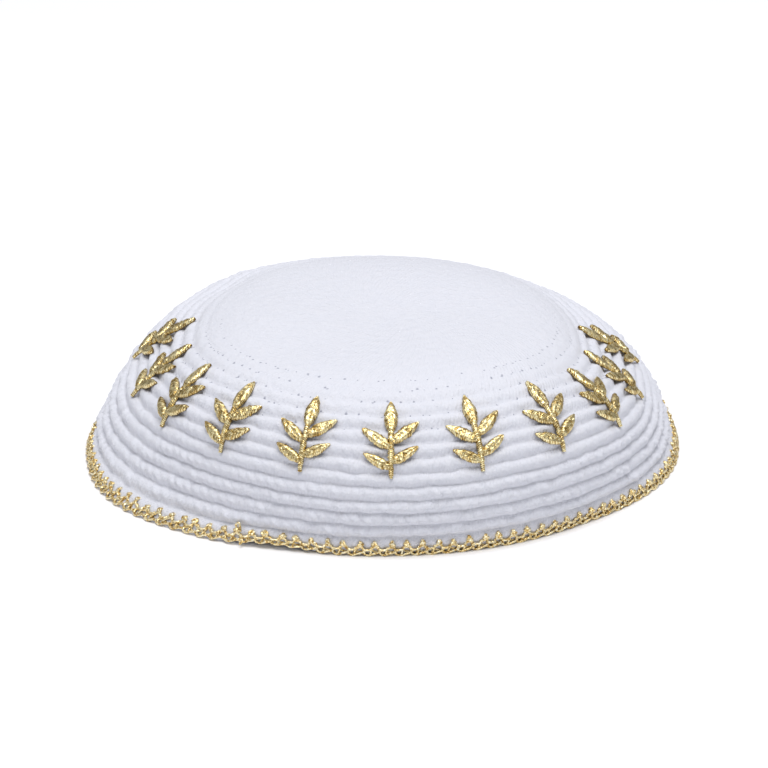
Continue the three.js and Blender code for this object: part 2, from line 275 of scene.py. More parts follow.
def gather(parts):
    """Joins several bodies, each points and blocks, into one set of points and blocks."""
    points = np.concatenate([part[0] for part in parts])
    starts = np.cumsum([0] + [len(part[0]) for part in parts])
    blocks = [(faces + start, uv) for (_, made), start in zip(parts, starts) for faces, uv in made]
    return points, blocks


# %% [markdown]
# Colours are written as sRGB hex values, the way a yarn card gives them, and turned to linear
# light once. One small function adds a shader node with its settings and its links.

# %% Colours and nodes
def linear(hex_colour):
    """An sRGB hex colour as the linear RGBA that the shaders work in."""
    channels = [int(hex_colour[i:i + 2], 16) / 255 for i in (1, 3, 5)]
    return tuple(c / 12.92 if c <= 0.04045 else ((c + 0.055) / 1.055) ** 2.4 for c in channels) + (1.0,)


def add_node(tree, kind, settings=None, inputs=None):
    """Adds one node; an input is a plain value or another node's output socket."""
    node = tree.nodes.new(kind)
    for name, value in (settings or {}).items():
        setattr(node, name, value)
    for name, value in (inputs or {}).items():
        if isinstance(value, bpy.types.NodeSocket):
            tree.links.new(value, node.inputs[name])
        else:
            node.inputs[name].default_value = value
    return node


def calculate(tree, operation, *values):
    """One math node's result."""
    return add_node(tree, "ShaderNodeMath", {"operation": operation}, dict(enumerate(values))).outputs[0]


def new_material(name, settings):
    """A material with a Principled shader whose constant sockets are set directly."""
    material = bpy.data.materials.new(name)
    material.use_nodes = True
    shader = material.node_tree.nodes["Principled BSDF"]
    for socket, value in settings.items():
        shader.inputs[socket].default_value = value
    return material, material.node_tree, shader


# %% [markdown]
# The cap is mercerised cotton crochet yarn, bleached white: matte, with a faint sheen from loose
# fibres, and slightly blue because bleached cotton is. In front, where the crown turns into the
# side, the stitches are stretched, and a pinhole opens in the groove beside some of them. The
# holes aren't cut: each is painted shade, a dark grey spot where the unlit inside would show.
# The yarn is also painted a touch darker where its loops sink, a little painted shade.

# %% White mercerised cotton crochet
STITCH_PITCH = 3.6
ROUND_PITCH = 4.79
PINHOLE = 0.85
PINHOLE_TALL = 1.8
PINHOLE_CORE = 0.1
SMALLEST_PINHOLE = 0.12
SHARE_CLOSED = 0.25
PINHOLE_ROUNDS = (9.5, 14.6)
PINHOLES_IN_FRONT_OF = (-0.1 * DEPTH, 0.05 * DEPTH)
PLIES_PER_STITCH = 3.0
PLY_SLANT = 1.6


def pinholes(tree, stitch, round_place):
    """A mask of small upright holes, one beside some of the stitches, where both places are whole numbers."""
    cell_u = calculate(tree, "ROUND", stitch)
    cell_v = calculate(tree, "ROUND", round_place)
    cell = add_node(tree, "ShaderNodeCombineXYZ", inputs={"X": cell_u, "Y": cell_v})
    noise = add_node(tree, "ShaderNodeTexWhiteNoise", {"noise_dimensions": "2D"}, {
        "Vector": cell.outputs["Vector"]})
    off_stitch = calculate(tree, "SUBTRACT", stitch, cell_u)
    off_round = calculate(tree, "SUBTRACT", round_place, cell_v)
    along = calculate(tree, "MULTIPLY", off_stitch, STITCH_PITCH)
    down = calculate(tree, "MULTIPLY", off_round, ROUND_PITCH / PINHOLE_TALL)
    along_squared = calculate(tree, "POWER", along, 2.0)
    down_squared = calculate(tree, "POWER", down, 2.0)
    away = calculate(tree, "SQRT", calculate(tree, "ADD", along_squared, down_squared))
    chance = calculate(tree, "SUBTRACT", noise.outputs["Value"], SHARE_CLOSED)
    size = calculate(tree, "MULTIPLY", chance, PINHOLE)
    near = add_node(tree, "ShaderNodeMapRange", {"interpolation_type": "SMOOTHSTEP"}, {
        "Value": away, "From Min": PINHOLE_CORE, "From Max": size, "To Min": 1.0, "To Max": 0.0})
    start = calculate(tree, "GREATER_THAN", cell_v, PINHOLE_ROUNDS[0])
    end = calculate(tree, "LESS_THAN", cell_v, PINHOLE_ROUNDS[1])
    wide_enough = calculate(tree, "GREATER_THAN", size, SMALLEST_PINHOLE)
    present = calculate(tree, "MULTIPLY", wide_enough, near.outputs["Result"])
    return calculate(tree, "MULTIPLY", present, calculate(tree, "MULTIPLY", start, end))


def white_cotton_crochet():
    """Matte white yarn with fibres, loops and slanting plies in relief, a little painted shade where the
    loops sink, and pinholes in front painted as dark shade.
    """
    material, tree, shader = new_material("mercerised cotton crochet", {
        "Roughness": 0.9,
        "Sheen Weight": 0.15,
        "Sheen Roughness": 0.5,
        "Specular IOR Level": 0.2,
    })
    uv = add_node(tree, "ShaderNodeUVMap", {"uv_map": "stitches"})
    place = add_node(tree, "ShaderNodeSeparateXYZ", inputs={"Vector": uv.outputs["UV"]})
    stitch, round_place = place.outputs["X"], place.outputs["Y"]
    spot = add_node(tree, "ShaderNodeTexCoord")
    fibres = add_node(tree, "ShaderNodeTexNoise", inputs={
        "Vector": spot.outputs["Object"], "Scale": 1 / (0.7 * MM), "Detail": 3.0, "Roughness": 0.6})
    loops = add_node(tree, "ShaderNodeTexNoise", inputs={
        "Vector": spot.outputs["Object"], "Scale": 1 / (2.2 * MM), "Detail": 2.0, "Roughness": 0.5})
    plies = calculate(tree, "MULTIPLY", stitch, PLIES_PER_STITCH)
    slant = calculate(tree, "ADD", plies, calculate(tree, "MULTIPLY", round_place, PLY_SLANT))
    ply = calculate(tree, "SINE", calculate(tree, "MULTIPLY", slant, TURN))
    height = calculate(tree, "ADD", calculate(tree, "MULTIPLY", ply, 0.15), fibres.outputs["Fac"])
    height = calculate(tree, "ADD", height, calculate(tree, "MULTIPLY", loops.outputs["Fac"], 1.8))
    depth = add_node(tree, "ShaderNodeSeparateXYZ", inputs={"Vector": spot.outputs["Object"]}).outputs["Y"]
    front = add_node(tree, "ShaderNodeMapRange", inputs={
        "Value": depth, "From Min": PINHOLES_IN_FRONT_OF[0] * MM, "From Max": PINHOLES_IN_FRONT_OF[1] * MM,
        "To Min": 1.0, "To Max": 0.0})
    hole = calculate(tree, "MULTIPLY", pinholes(tree, stitch, round_place), front.outputs["Result"])
    # Painted shade: the yarn is a touch darker where the loops' relief sinks.
    yarn = add_node(tree, "ShaderNodeMix", {"data_type": "RGBA"}, {
        0: loops.outputs["Fac"], 6: linear("#d7d9e1"), 7: linear("#dddde3")})
    # Painted shade: each pinhole is a dark grey spot where the unlit inside would show through.
    pinhole_shade = add_node(tree, "ShaderNodeMix", {"data_type": "RGBA"}, {
        0: calculate(tree, "MULTIPLY", hole, 0.8), 6: yarn.outputs[2], 7: linear("#7d8092")})
    tree.links.new(pinhole_shade.outputs[2], shader.inputs["Base Color"])
    bump = add_node(tree, "ShaderNodeBump", inputs={"Height": height, "Strength": 0.6, "Distance": 0.45 * MM})
    tree.links.new(bump.outputs["Normal"], shader.inputs["Normal"])
    return material


COTTON = white_cotton_crochet()

# %% [markdown]
# The gold is lurex: a polyester core wrapped in a ribbon of metallised foil. It is metal to the
# eye, pale where a turn of foil catches the light and brown where it turns away, and it changes
# from one to the other within a millimetre. These are painted into its colour: random patches
# of painted highlight and painted shade, and on embroidery thread painted light thread by thread.

# %% Gold lurex yarn
# Shares of the painted light on embroidery thread: the crinkle, each thread's own painted glint, and a
# painted highlight along each thread's middle with painted shade at its sides.
CRINKLE_PART, THREAD_GLINT_PART, THREAD_SHADING_PART = 0.55, 0.16, 0.24
# Where the ramp turns from painted shade (brown) through middle gold to painted highlight (pale).
SHADE_AT, MIDDLE_AT, HIGHLIGHT_AT = 0.36, 0.47, 0.62


def gold_lurex(name, painted_highlight, middle, painted_shade, patch, roughness, combed):
    """Crinkled foil with random patches of painted highlight and painted shade, of a size in millimetres;
    combed thread gets painted light thread by thread, brightest along each thread's middle.
    """
    material, tree, shader = new_material(name, {"Metallic": 1.0, "Roughness": roughness})
    spot = add_node(tree, "ShaderNodeTexCoord")
    crinkle = add_node(tree, "ShaderNodeTexNoise", inputs={
        "Vector": spot.outputs["Object"], "Scale": 1 / (patch * MM), "Detail": 2.0, "Roughness": 0.65})
    painted_light = crinkle.outputs["Fac"]
    if combed:
        uv = add_node(tree, "ShaderNodeUVMap", {"uv_map": "stitches"})
        place = add_node(tree, "ShaderNodeSeparateXYZ", inputs={"Vector": uv.outputs["UV"]})
        thread = calculate(tree, "FLOOR", place.outputs["X"])
        chance = add_node(tree, "ShaderNodeTexWhiteNoise", {"noise_dimensions": "1D"}, {"W": thread})
        # Painted highlight along each thread's middle, fading to painted shade at its sides.
        half_turns = calculate(tree, "MULTIPLY", place.outputs["X"], math.pi)
        thread_shading = calculate(tree, "ABSOLUTE", calculate(tree, "SINE", half_turns))
        painted_light = calculate(tree, "MULTIPLY", painted_light, CRINKLE_PART)
        painted_light = calculate(tree, "ADD", painted_light, calculate(tree, "MULTIPLY", chance.outputs["Value"], THREAD_GLINT_PART))
        painted_light = calculate(tree, "ADD", painted_light, calculate(tree, "MULTIPLY", thread_shading, THREAD_SHADING_PART))
    # Painted light: the ramp paints brown shade and pale highlights into the foil's colour.
    ramp = add_node(tree, "ShaderNodeValToRGB", inputs={"Fac": painted_light})
    ramp.color_ramp.elements[0].position = SHADE_AT
    ramp.color_ramp.elements[0].color = linear(painted_shade)
    ramp.color_ramp.elements[1].position = HIGHLIGHT_AT
    ramp.color_ramp.elements[1].color = linear(painted_highlight)
    half_way = ramp.color_ramp.elements.new(MIDDLE_AT)
    half_way.color = linear(middle)
    tree.links.new(ramp.outputs["Color"], shader.inputs["Base Color"])
    bump = add_node(tree, "ShaderNodeBump", inputs={
        "Height": crinkle.outputs["Fac"], "Strength": 0.7, "Distance": 0.5 * patch * MM})
    tree.links.new(bump.outputs["Normal"], shader.inputs["Normal"])
    return material


# Each gold gives its painted highlight colour, its middle colour and its painted shade colour.
EDGING_GOLD = gold_lurex(
    "gold lurex crochet yarn", "#fff7d6", "#f2d999", "#b08a48", patch=0.8, roughness=0.3, combed=False)
EMBROIDERY_GOLD = gold_lurex(
    "gold lurex embroidery thread", "#fbf0c0", "#d2b26c", "#74592a", patch=0.9, roughness=0.3, combed=True)

# %% [markdown]
# The white cloth is single crochet worked round and round from the crown. Each round is a rib
# between two grooves, and each stitch swells the rib a little, most near the rim. The rib's crest is
# above its middle, and a groove wanders a little, as hand work does. A fine grid of rows and columns
# gives all this in real geometry: six rows to a round on the side and five columns to a stitch.

# %% The rounds and stitches of the white cloth
ROUNDS = round(FOLD_LENGTH / ROUND_PITCH)
ROUND_TUCKED = 0.64
STITCHES = 150
COLUMNS_PER_STITCH = 5
FIRST_STITCHES = 8
STITCHES_GAINED = 8.8
STITCH_SHIFT = 0.5
STITCH_SLANT = 1.1
STITCH_UNEVENNESS = 0.45
WALL = 3.0
RIB_DEPTH = 1.5
CROWN_RIB_DEPTH = 0.08
RIBS_START, RIBS_FULL = 0.46, 0.66
RIB_CREST, RIB_SHARPNESS = 0.8, 1.3
LOBE_SHARPNESS, LOBE_MIDDLE = 0.8, 0.65
CROWN_SWELL, SIDE_SWELL, LOW_SWELL, RIM_SWELL = 0.03, 0.25, 0.30, 0.3
LOW_START, LOW_FULL = 0.72, 0.92
GROOVE_SWELL = 0.35
GROOVE_TREMBLE, GROOVE_DRIFT, DRIFTS = 0.035, 0.03, 9
SIDE_PARTS = (0.0, 0.13, 0.3, 0.48, 0.66, 0.84)
CROWN_PARTS = (0.0, 0.25, 0.5, 0.75)
CENTRE_GAP, EDGE_GAP = 0.4, 0.1
RIM_ROWS = (
    {"level": 3.6, "out": -0.3},
    {"level": 2.8, "out": -0.35},
    {"level": 1.8, "out": -0.5},
    {"level": 1.0, "out": -0.4},
    {"level": 0.3, "out": -0.35},
)
RIM_WAVE = 0.25
RIM_INSIDE = {"level": 1.0, "out": -2.7}
INNER_ROWS = 40
INNER_RIB = 0.3
INNER_START, INNER_FULL = 0.2, 0.5
UV_WITHOUT_HOLE = 0.4
print(f"{ROUNDS} rounds, {STITCHES} stitches in each round of the side")


def ease(value, low, high):
    """A smooth step from 0 at low to 1 at high."""
    t = np.clip((value - low) / (high - low), 0, 1)
    return t * t * (3 - 2 * t)


def stitches_in(round_number):
    """Stitches in a round: the crown gains some with every round until the side is reached."""
    return min(STITCHES, max(FIRST_STITCHES, round(STITCHES_GAINED * (round_number + 0.5))))


def uneven(seed, count, place):
    """Seeded unevenness of hand work, one value for each stitch, smooth between them."""
    values = np.random.default_rng(seed).normal(size=count)
    return smooth_between(values, np.asarray(place) % count, wrap=True)


def lobes(stitch):
    """One round lobe for each stitch, from 0 between two stitches to 1 at a stitch's middle."""
    return np.abs(np.sin(math.pi * stitch)) ** LOBE_SHARPNESS


def groove_wander(groove, turn):
    """How far a groove strays from its round, as a part of a round."""
    count = stitches_in(groove)
    tremble = GROOVE_TREMBLE * uneven(500 + groove, count, turn * count)
    return tremble + GROOVE_DRIFT * uneven(900 + groove, DRIFTS, turn * DRIFTS)


def outer_row(round_number, part, columns):
    """One row of points on the outer face."""
    turn = np.arange(columns) / columns
    wander = (1 - part) * groove_wander(round_number, turn) + part * groove_wander(round_number + 1, turn)
    share = np.clip((round_number + part + ROUND_TUCKED + wander) / ROUNDS, 0, 1)
    fade = ease(share, RIBS_START, RIBS_FULL)
    depth = CROWN_RIB_DEPTH + (RIB_DEPTH - CROWN_RIB_DEPTH) * fade
    ridge = math.sin(math.pi * part ** RIB_CREST) ** RIB_SHARPNESS
    count = stitches_in(round_number)
    stitch = count * turn + STITCH_SHIFT * round_number - STITCH_SLANT * (part - 0.5)
    size = 1 + STITCH_UNEVENNESS * uneven(100 + round_number, count, np.floor(stitch))
    swell = CROWN_SWELL + SIDE_SWELL * fade + LOW_SWELL * ease(share, LOW_START, LOW_FULL)
    swell = swell * (lobes(stitch) * size - LOBE_MIDDLE) * (GROOVE_SWELL + (1 - GROOVE_SWELL) * ridge)
    return cloth_point(share, turn * TURN, swell - depth * (1 - ridge))


def strip(upper, lower, start_upper, start_lower):
    """Faces between two rings, with their corners' turns and rows; one ring may be finer than the other."""
    if upper == lower:
        j = np.arange(upper)
        beside = (j + 1) % upper
        faces = np.stack([start_upper + j, start_lower + j, start_lower + beside, start_upper + beside], 1)
        return faces, np.stack([j, j, j + 1, j + 1], 1) / upper, np.array([0, 1, 1, 0])
    few, many = min(upper, lower), max(upper, lower)
    start_few, start_many = (start_upper, start_lower) if upper < lower else (start_lower, start_upper)
    ratio = many // few
    j = np.arange(few)
    corners = [((j, 0) if k < ratio // 2 else (j + 1, 0), (ratio * j + k, 1), (ratio * j + k + 1, 1))
               for k in range(ratio)]
    corners.append(((j, 0), (ratio * j + ratio // 2, 1), (j + 1, 0)))
    faces, turns, rows = [], [], []
    for triangle in corners:
        points = [start_many + at % many if row else start_few + at % few for at, row in triangle]
        faces.append(np.stack(points, 1))
        turns.append(np.stack([at / (many if row else few) for at, row in triangle], 1))
        rows.append(np.tile([row for _, row in triangle], (few, 1)))
    faces, turns, rows = np.concatenate(faces), np.concatenate(turns), np.concatenate(rows)
    if upper > lower:
        return faces[:, ::-1], turns[:, ::-1], 1 - rows[:, ::-1]
    return faces, turns, rows


def crochet_rings():
    """Rings of points down the outer face, round the edge and up the inner face, with their rounds."""
    fine = COLUMNS_PER_STITCH * STITCHES
    coarse, inner = fine // 2, fine // 3
    side_start = math.floor(RIBS_START * ROUNDS)
    rings = []
    for round_number in range(ROUNDS):
        on_side = round_number >= side_start
        for part in SIDE_PARTS if on_side else CROWN_PARTS:
            place = round_number + part
            if CENTRE_GAP < place + ROUND_TUCKED < ROUNDS - EDGE_GAP:
                rings.append((outer_row(round_number, part, fine if on_side else coarse), place))
    around = np.arange(fine) / fine * TURN
    stitch = around / TURN * STITCHES
    wave = RIM_WAVE * uneven(77, STITCHES, stitch)
    swell = RIM_SWELL * (lobes(stitch) - LOBE_MIDDLE)
    for row in RIM_ROWS:
        place = ROUNDS + (EDGE_LEVEL - row["level"]) / ROUND_PITCH
        rings.append((rim_point(around, row["level"] + wave, row["out"] + swell), place))
    under = np.arange(inner) / inner * TURN
    rings.append((rim_point(under, RIM_INSIDE["level"], RIM_INSIDE["out"]), ROUNDS + 1))
    for k in range(INNER_ROWS):
        share = 1 - k / INNER_ROWS
        rib = INNER_RIB * ease(share, INNER_START, INNER_FULL)
        rib = rib * math.cos(TURN * (share * ROUNDS - ROUND_TUCKED))
        rings.append((cloth_point(np.full(inner, share), under, -WALL + rib), 2 * ROUNDS - share * ROUNDS))
    return rings


def crochet_shell():
    """The whole white cloth as one closed body."""
    rings = crochet_rings()
    top, under = cloth_point(0.0, 0.0, 0.0), cloth_point(0.0, 0.0, -WALL)
    points = np.concatenate([top[None]] + [ring for ring, _ in rings] + [under[None]])
    points[:, 2] = np.maximum(points[:, 2], LOWEST_POINT)
    starts = np.cumsum([1] + [len(ring) for ring, _ in rings])
    blocks = []
    for i, ((upper, high), (lower, low)) in enumerate(zip(rings, rings[1:])):
        faces, turns, rows = strip(len(upper), len(lower), starts[i], starts[i + 1])
        rounds = np.broadcast_to(high + rows * (low - high), turns.shape)
        number = math.floor(high + 1e-6)
        stitches = turns * stitches_in(number) + STITCH_SHIFT * number
        blocks.append((faces, np.stack([stitches, rounds], -1)))
    ends = ((rings[0][0], 1, 0, 1), (rings[-1][0], starts[-2], len(points) - 1, -1))
    for ring, start, centre, order in ends:
        j = np.arange(len(ring))
        fan = np.stack([np.full(len(ring), centre), start + j, start + (j + 1) % len(ring)], 1)
        blocks.append((fan[:, ::order], np.full(fan.shape + (2,), UV_WITHOUT_HOLE)))
    piece = make_piece("crochet_shell", points, blocks, COTTON)
    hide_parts("crown_shell")


crochet_shell()

# %% [markdown]
# A yarn is a tube swept along a path. The edging's path is written in edge terms: how far along
# the rim in stitches, how high above the table and how far out of the cloth, so it follows the rim.

# %% Sweeping a yarn along a path
YARN_SIDES = 6
ACROSS_ANY_YARN = (0.31, 0.17, 0.93)


def sweep(path, radius, closed):
    """Points and blocks of a tube along a path of points, all in millimetres."""
    count, sides = len(path), YARN_SIDES
    tangent = np.roll(path, -1, 0) - np.roll(path, 1, 0) if closed else np.gradient(path, axis=0)
    tangent /= np.linalg.norm(tangent, axis=1, keepdims=True)
    normal = np.empty_like(path)
    normal[0] = np.cross(tangent[0], ACROSS_ANY_YARN)
    for i in range(count):
        held = normal[max(i - 1, 0)]
        normal[i] = held - tangent[i] * np.dot(held, tangent[i])
        normal[i] /= np.linalg.norm(normal[i])
    binormal = np.cross(tangent, normal)
    angles = np.arange(sides)[None, :, None] / sides * TURN
    ring = normal[:, None] * np.cos(angles) + binormal[:, None] * np.sin(angles)
    points = (path[:, None] + radius * ring).reshape(-1, 3)
    i, s = np.meshgrid(np.arange(count if closed else count - 1), np.arange(sides), indexing="ij")
    n, t = (i + 1) % count, (s + 1) % sides
    faces = np.stack([i * sides + s, i * sides + t, n * sides + t, n * sides + s], -1).reshape(-1, 4)
    step = np.linalg.norm(np.diff(path, axis=0), axis=1).mean()
    uv = np.stack([np.stack([i, i, i + 1, i + 1], -1) * step, np.stack([s, s + 1, s + 1, s], -1) / sides], -1)
    blocks = [(faces, uv.reshape(-1, 4, 2))]
    if not closed:
        ends = np.stack([np.arange(sides)[::-1], (count - 1) * sides + np.arange(sides)])
        blocks.append((ends, np.zeros((2, sides, 2))))
    return points, blocks


def curve_through(knots, steps, closed=True):
    """A smooth path through a few knots, with even steps between them."""
    knots = np.asarray(knots, float)
    count = len(knots) * steps if closed else (len(knots) - 1) * steps + 1
    return smooth_between(knots, np.arange(count) / steps, wrap=closed)


# %% [markdown]
# The edging is one row of crochet in gold lurex. For every stitch two legs come up over the white
# edge and meet in a small bright knot, and a chain of two strands runs along the bottom. The
# strands change places at every stitch and leave an oval gap between one stitch and the next. A
# third strand lies over the legs. The knots stand highest in front.

# %% The gold edging
YARN_RADIUS = 0.37
KNOT_RADIUS = 0.42
CHAIN_RADIUS = 0.36
FRONT_PEAK, SIDE_PEAK, PEAK_JITTER = 4.9, 3.9, 0.22
LEAN_JITTER, LEG_JITTER = 0.06, 0.1
KNOT_WIDE, KNOT_TALL, KNOT_JITTER = 0.15, 0.42, 0.18
KNOT_BELOW_PEAK, KNOT_OUT, KNOT_TILT = 0.55, 0.22, 0.35
KNOT_STEPS = 12
EDGING_STITCHES = 116
CHAIN_LEVEL, CHAIN_OUT = 1.15, 0.1
CHAIN_SPREAD, CHAIN_LEAN, CHAIN_CROSSING, CHAIN_SHARPNESS = 0.70, 0.35, 0.42, 0.7
CHAIN_STEPS = 16
STRAND_LEVEL, STRAND_OUT = 2.75, 0.15
STRAND_RISE, STRAND_SWAY = 0.32, 0.30
JOIN_STITCH = 106
PLACES_BEFORE, PLACES_AFTER = 3, 4
edging_directions = even_directions(1.0, EDGING_STITCHES)
edging_places = np.concatenate([
    edging_directions[-PLACES_BEFORE:] - TURN, edging_directions, edging_directions[:PLACES_AFTER] + TURN])


def edging_path(knots):
    """Turns places of (stitch, height, out) into points beside the rim."""
    stitch, height, out = np.asarray(knots, float).T
    numbers = np.arange(-PLACES_BEFORE, EDGING_STITCHES + PLACES_AFTER)
    direction = np.interp(stitch, numbers, edging_places)
    return rim_point(direction, height, out)


def edging_stitch(k, jitter):
    """The two legs of one stitch, which meet in a small knot and go back inside the cloth's edge."""
    frontal = max(0, math.cos(k / EDGING_STITCHES * TURN)) ** 2
    peak = SIDE_PEAK + (FRONT_PEAK - SIDE_PEAK) * frontal + jitter.normal(0, PEAK_JITTER)
    lean = jitter.normal(0, LEAN_JITTER)
    bodies = []
    for side in (-1, 1):
        knots = (
            (k + side * 0.33, 0.9, CHAIN_OUT + 0.3),
            (k + side * 0.25, 2.1, -0.1 + jitter.normal(0, LEG_JITTER)),
            (k + side * 0.10 + lean, peak - 1.4, 0.12),
            (k - side * 0.06 + lean, peak - 0.4, 0.10),
            (k - side * 0.03 + lean, peak, -0.8),
            (k, peak - 0.8, -3.0),
            (k + side * 0.14, peak - 1.5, -3.3),
            (k + side * 0.28, 1.7, -2.7),
            (k + side * 0.36, 0.8, CHAIN_OUT - 0.7),
        )
        bodies.append(sweep(edging_path(curve_through(knots, 4)), YARN_RADIUS, closed=True))
    turn = np.arange(KNOT_STEPS) / KNOT_STEPS * TURN
    tilt = KNOT_TILT * np.sin(turn + jitter.uniform(0, TURN))
    size = 1 + jitter.normal(0, KNOT_JITTER)
    ring = np.stack([
        k + lean + KNOT_WIDE * size * np.cos(turn),
        peak - KNOT_BELOW_PEAK + KNOT_TALL * size * np.sin(turn),
        KNOT_OUT + tilt,
    ], 1)
    bodies.append(sweep(edging_path(ring), KNOT_RADIUS, closed=True))
    return bodies


def edging_chain(sign, seed):
    """One strand of the chain along the bottom; the two change places at every stitch."""
    t = np.arange(EDGING_STITCHES * CHAIN_STEPS) / CHAIN_STEPS
    wave = np.sin(math.pi * t)
    bow = sign * wave * np.abs(wave) ** CHAIN_SHARPNESS
    knots = np.stack([
        t + 0.05 * uneven(seed, EDGING_STITCHES, t),
        CHAIN_LEVEL + CHAIN_SPREAD * bow + 0.08 * uneven(seed + 1, EDGING_STITCHES, t),
        CHAIN_OUT - CHAIN_LEAN * bow + sign * CHAIN_CROSSING * np.cos(math.pi * t),
    ], 1)
    return sweep(edging_path(knots), CHAIN_RADIUS, closed=True)


def edging_top_strand():
    """The strand that runs over the chain from stitch to stitch, dipping between them."""
    t = np.arange(EDGING_STITCHES * CHAIN_STEPS) / CHAIN_STEPS
    knots = np.stack([
        t + 0.10 * np.sin(2 * TURN * t),
        STRAND_LEVEL + STRAND_RISE * np.cos(TURN * t) + 0.14 * uneven(41, EDGING_STITCHES, t),
        STRAND_OUT - STRAND_SWAY * np.cos(TURN * t),
    ], 1)
    return sweep(edging_path(knots), CHAIN_RADIUS, closed=True)


def joining_knot():
    """Where the round of edging was closed, its yarn is knotted higher up and its end hangs loose."""
    up = ((JOIN_STITCH, 4.6, 0.3), (JOIN_STITCH - 0.1, 6.3, 0.4), (JOIN_STITCH + 0.12, 6.9, 0.3),
          (JOIN_STITCH + 0.2, 5.6, 0.4), (JOIN_STITCH + 0.28, 4.0, 0.6))
    end = ((JOIN_STITCH + 0.3, 3.2, 0.5), (JOIN_STITCH + 0.42, 1.8, 0.4), (JOIN_STITCH + 0.5, 0.6, 1.0),
           (JOIN_STITCH + 0.46, 0.35, 2.2))
    paths = [edging_path(curve_through(knots, 6, closed=False)) for knots in (up, end)]
    return [sweep(path, YARN_RADIUS, closed=False) for path in paths]


def gold_edging():
    """All the yarns of the edging as one piece."""
    jitter = np.random.default_rng(11)
    parts = [body for k in range(EDGING_STITCHES) for body in edging_stitch(k, jitter)]
    parts += [edging_chain(-1, 21), edging_chain(1, 31), edging_top_strand()]
    parts += joining_knot()
    points, blocks = gather(parts)
    points[:, 2] = np.maximum(points[:, 2], LOWEST_POINT)
    piece = make_piece("lurex_edging", points, blocks, EDGING_GOLD)
    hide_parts("gold_edging")


gold_edging()

# %% [markdown]
# Each sprig is padded satin stitch: threads laid side by side across a leaf over a padding, so the
# leaf is a low dome combed into ridges, with a valley down its middle where two rows of stitches
# meet. A grid with four rows to a ridge gives it; a ridge is two threads of the real embroidery.

# %% Satin-stitched sprigs
SPRIG_SHARE = 0.665
SPRIG_PLACES = 18
SPRIG_COUNT = sum(name.startswith("sprig_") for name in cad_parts)
SPRIG_HEIGHT = 25
SPRIG_THICKNESS = 1.3
LEAF_LENGTH, LEAF_WIDTH, STEM_WIDTH = 11, 3.6, 1.8
THREAD_RIDGE, ROWS_PER_RIDGE, RIDGE_HEIGHT = 0.62, 4, 0.24
THREAD_LIFT, THREAD_PULL = 0.09, 0.16
VALLEY_WIDE = 0.2
SUNK_IN_CLOTH = 0.25
LEAVES = (
    {"from": 0.56, "turn": 0, "length": 1.0, "width": 1.0},
    {"from": 0.44, "turn": 52, "length": 0.95, "width": 0.92},
    {"from": 0.37, "turn": -54, "length": 0.95, "width": 0.92},
    {"from": 0.19, "turn": 58, "length": 0.85, "width": 0.84},
    {"from": 0.12, "turn": -60, "length": 0.85, "width": 0.84},
)


def satin_strip(start, end, width_at, slant, valley, seed, across=12):
    """A padded strip of satin stitch, laid out flat: sideways, up and height."""
    start, end = np.asarray(start, float), np.asarray(end, float)
    length = np.linalg.norm(end - start)
    rows = round(length / THREAD_RIDGE * ROWS_PER_RIDGE)
    sideways = -np.cos(np.linspace(0, math.pi, across + 1))
    a, b = np.meshgrid(np.linspace(0, 1, rows + 1), sideways, indexing="ij")
    width = width_at(a)
    thread = a * length / THREAD_RIDGE + slant * np.abs(b) * width / THREAD_RIDGE
    number = np.floor(thread).astype(int)
    threads = np.random.default_rng(seed)
    lift = threads.normal(0, THREAD_LIFT, number.max() + 1)
    pull = threads.normal(0, THREAD_PULL, number.max() + 1)
    ridge = np.abs(np.sin(math.pi * thread)) ** 0.7
    half = 0.5 * (width + pull[number] * np.clip(width, 0, 1))
    direction = (end - start) / length
    side = np.array([direction[1], -direction[0]])
    flat = start + direction * (a * length)[..., None] + side * (b * half)[..., None]
    dome = np.sqrt(np.clip(1 - b * b, 0, 1)) * np.clip(width / LEAF_WIDTH + 0.25, 0, 1)
    dome *= 1 - valley * np.exp(-(b / VALLEY_WIDE) ** 2)
    height = SPRIG_THICKNESS * dome * (0.85 + lift[number]) + RIDGE_HEIGHT * ridge * (dome > 0.02)
    grid = np.concatenate([flat, height[..., None]], -1)
    bottom = grid[:, [0, -1]].copy()
    bottom[..., 2] = -SUNK_IN_CLOTH
    columns = across + 1
    under = grid.shape[0] * columns
    i, j = np.meshgrid(np.arange(rows), np.arange(across), indexing="ij")
    corner = i * columns + j
    faces = np.stack([corner, corner + 1, corner + columns + 1, corner + columns], -1).reshape(-1, 4)
    p, q = np.arange(rows) * columns, under + 2 * np.arange(rows)
    sides = np.concatenate([
        np.stack([p + columns, q + 2, q, p], 1),
        np.stack([p + across, q + 1, q + 3, p + columns + across], 1),
        np.stack([q + 2, q + 3, q + 1, q], 1),
    ])
    first = np.append(np.arange(columns), [under + 1, under])[::-1]
    last = np.append(rows * columns + np.arange(columns), [under + 2 * rows + 1, under + 2 * rows])
    uv = np.stack([thread + 50 * seed, b], -1).reshape(-1, 2)
    blocks = [(faces, uv[faces])]
    blocks += [(block, np.zeros(block.shape + (2,))) for block in (sides, first[None], last[None])]
    return np.concatenate([grid.reshape(-1, 3), bottom.reshape(-1, 3)]), blocks


def leaf_width(scale):
    """A leaf's width along its length: pointed at its tip and narrow where it leaves the stem."""
    return lambda a: 0.4 + scale * LEAF_WIDTH * np.sin(math.pi * np.clip(a, 0, 1) ** 0.85) ** 0.8


def stem_width(a):
    """The stem's width along its length."""
    return STEM_WIDTH * (0.3 + 0.7 * np.sin(math.pi * np.clip(0.05 + 0.8 * a, 0, 1)) ** 0.6)


